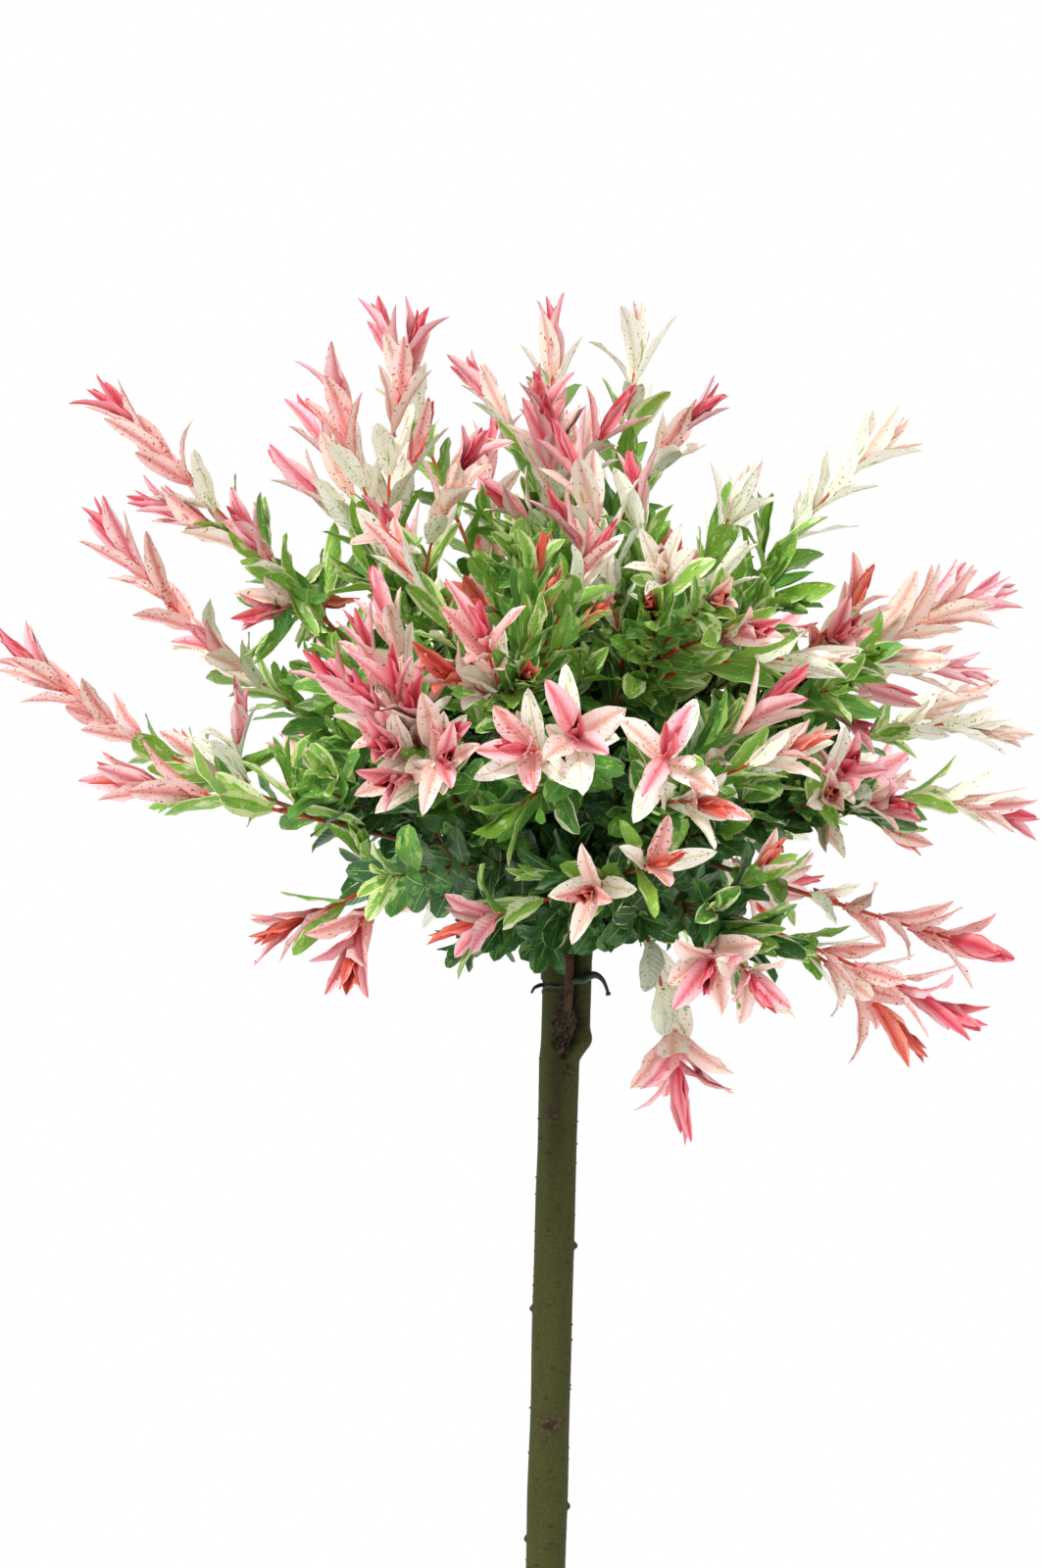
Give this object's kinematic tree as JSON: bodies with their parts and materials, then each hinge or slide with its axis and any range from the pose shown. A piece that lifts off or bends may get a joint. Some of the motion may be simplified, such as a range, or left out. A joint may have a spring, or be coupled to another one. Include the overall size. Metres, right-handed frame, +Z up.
{
  "type": "dappled willow grown as a small grafted standard",
  "caption": "Small grafted standard willow: one clear olive stem with a rounded head of arching shoots in green, cream and pink leaves.",
  "frame": {"origin": "middle of the flat cut under the trunk, at ground level", "axes": "+Z up along the trunk, -Y towards the front, +X to the right seen from the front"},
  "size_m": [0.5322, 0.4661, 1.1829],
  "materials": {
    "bark": "smooth olive-green bark, matt",
    "young_bark": "thin red-brown bark, satin",
    "green_leaf": "green leaves, satin",
    "pink_leaf": "pink and cream young leaves, satin"
  },
  "bodies": {
    "root": {"bough_back_left": "young_bark", "bough_back_right": "young_bark", "bough_front_left": "young_bark", "bough_front_right": "young_bark", "bough_high_back": "young_bark", "bough_high_front": "young_bark", "bough_high_left": "young_bark", "bough_high_right": "young_bark", "bough_left": "young_bark", "bough_right": "young_bark", "bough_top": "young_bark", "green_back_left": "green_leaf", "green_back_right": "green_leaf", "green_front_left": "green_leaf", "green_front_right": "green_leaf", "green_high_back": "green_leaf", "green_high_front": "green_leaf", "green_high_left": "green_leaf", "green_high_right": "green_leaf", "green_left": "green_leaf", "green_right": "green_leaf", "green_top": "green_leaf", "spray_back": "pink_leaf", "spray_back_droop_left": "pink_leaf", "spray_back_droop_right": "pink_leaf", "spray_back_high_left": "pink_leaf", "spray_back_high_right": "pink_leaf", "spray_back_left": "pink_leaf", "spray_back_right": "pink_leaf", "spray_front": "pink_leaf", "spray_front_droop": "pink_leaf", "spray_front_hang": "pink_leaf", "spray_front_high_left": "pink_leaf", "spray_front_high_right": "pink_leaf", "spray_front_left": "pink_leaf", "spray_front_low": "pink_leaf", "spray_front_right": "pink_leaf", "spray_high_left": "pink_leaf", "spray_high_right": "pink_leaf", "spray_left_droop": "pink_leaf", "spray_left_high": "pink_leaf", "spray_left_long": "pink_leaf", "spray_left_low": "pink_leaf", "spray_left_mid": "pink_leaf", "spray_right_droop": "pink_leaf", "spray_right_hang": "pink_leaf", "spray_right_low": "pink_leaf", "spray_right_mid": "pink_leaf", "spray_right_upper": "pink_leaf", "spray_top": "pink_leaf", "spray_top_left": "pink_leaf", "spray_top_right": "pink_leaf", "trunk": "bark"}
  },
  "joints": []
}
